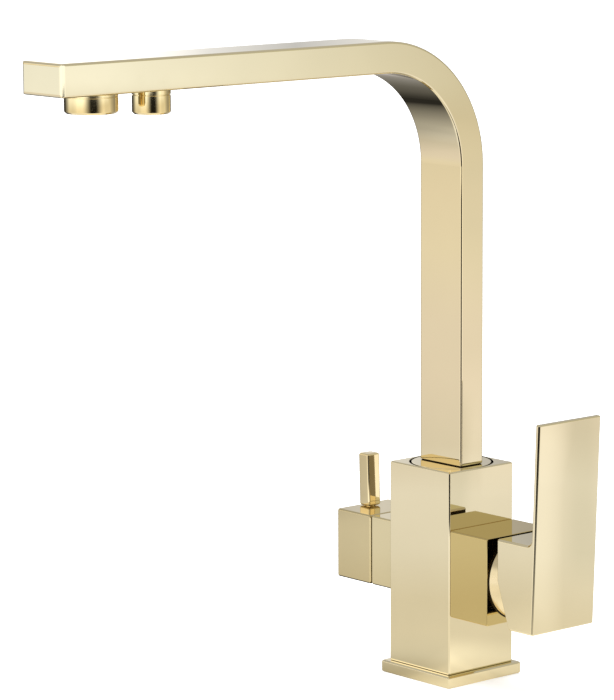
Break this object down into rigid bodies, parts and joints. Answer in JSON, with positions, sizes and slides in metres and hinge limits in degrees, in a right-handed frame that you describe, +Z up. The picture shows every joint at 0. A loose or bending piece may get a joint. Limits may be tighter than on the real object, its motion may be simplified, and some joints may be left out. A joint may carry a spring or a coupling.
{
  "type": "three way filtered water tap",
  "caption": "Square kitchen mixer tap with a swivelling right-angled spout, a side mixer lever and a separate filtered-water valve and outlet.",
  "frame": {"origin": "centre of the base flange's underside, on the worktop's surface", "axes": "+Z up out of the worktop, -Y along the spout's arm at rest, +X towards the mixer lever, -X towards the filtered-water valve"},
  "size_m": [0.1546, 0.2845, 0.3929],
  "materials": {
    "polished_gold": "mirror-polished, with a pale champagne-gold coating",
    "raw_brass": "machined, uncoated",
    "plain_steel": "plain machined stainless steel",
    "black_rubber": "matt black rubber",
    "white_plastic": "plain white acetal",
    "grey_plastic": "plain mid-grey acetal",
    "ceramic": "lapped white ceramic"
  },
  "bodies": {
    "tap_body": {"base_flange": "polished_gold", "base_gasket": "black_rubber", "body_column": "polished_gold", "stud_left": "plain_steel", "stud_right": "plain_steel", "clamp_rubber": "black_rubber", "clamp_plate": "plain_steel", "stud_nut_left": "raw_brass", "stud_nut_right": "raw_brass", "spout_keeper_screw": "plain_steel", "mixer_housing": "polished_gold", "mixer_spigot_seal": "black_rubber", "mixer_base_seal": "black_rubber", "cartridge_body": "white_plastic", "cartridge_fixed_disc": "ceramic", "cartridge_ring_nut": "raw_brass", "mixer_dome_cover": "polished_gold", "filter_valve_housing": "polished_gold", "filter_spigot_seal": "black_rubber", "filter_headwork": "raw_brass"},
    "spout": {"spout_tube": "polished_gold", "spout_foot": "polished_gold", "spout_seal_lower": "black_rubber", "spout_seal_upper": "black_rubber", "spout_glide_ring": "white_plastic", "filtered_tube": "white_plastic", "filtered_elbow": "raw_brass", "aerator_housing": "polished_gold", "aerator_insert": "grey_plastic", "aerator_washer": "black_rubber", "filter_outlet_housing": "polished_gold", "filter_outlet_insert": "white_plastic", "filter_outlet_washer": "black_rubber"},
    "mixer_turret": {"cartridge_turret": "grey_plastic", "cartridge_pivot_pin": "plain_steel"},
    "mixer_slider": {"cartridge_moving_disc": "ceramic"},
    "lever": {"mixer_stem": "plain_steel", "lever_handle": "polished_gold", "lever_set_screw": "plain_steel", "lever_plug": "grey_plastic"},
    "filter_handle": {"filter_spindle": "raw_brass", "filter_knob": "polished_gold", "filter_knob_screw": "plain_steel", "filter_pin_lever": "polished_gold"}
  },
  "joints": [
    {"name": "spout_swivel", "type": "hinge", "parent": "tap_body", "child": "spout", "pos_m": [0, 0, 0.1117], "axis": [0, 0, 1], "continuous": true},
    {"name": "lever_turn", "type": "hinge", "parent": "tap_body", "child": "mixer_turret", "pos_m": [0.0401, 0, 0.0593], "axis": [1, 0, 0], "range_deg": [-45, 45]},
    {"name": "lever_lift", "type": "hinge", "parent": "mixer_turret", "child": "lever", "pos_m": [0.0401, 0, 0.0593], "axis": [0, 1, 0], "range_deg": [0, 25]},
    {"name": "mixer_disc_slide", "type": "slide", "parent": "mixer_turret", "child": "mixer_slider", "axis": [0, 0, 1], "range_m": [0, 0.0021]},
    {"name": "filter_turn", "type": "hinge", "parent": "tap_body", "child": "filter_handle", "pos_m": [-0.055, 0, 0.0608], "axis": [1, 0, 0], "range_deg": [0, 90]}
  ],
  "couplings": [
    {"joint": "mixer_disc_slide", "follows": "lever_lift", "m_per_rad": 0.0046}
  ]
}
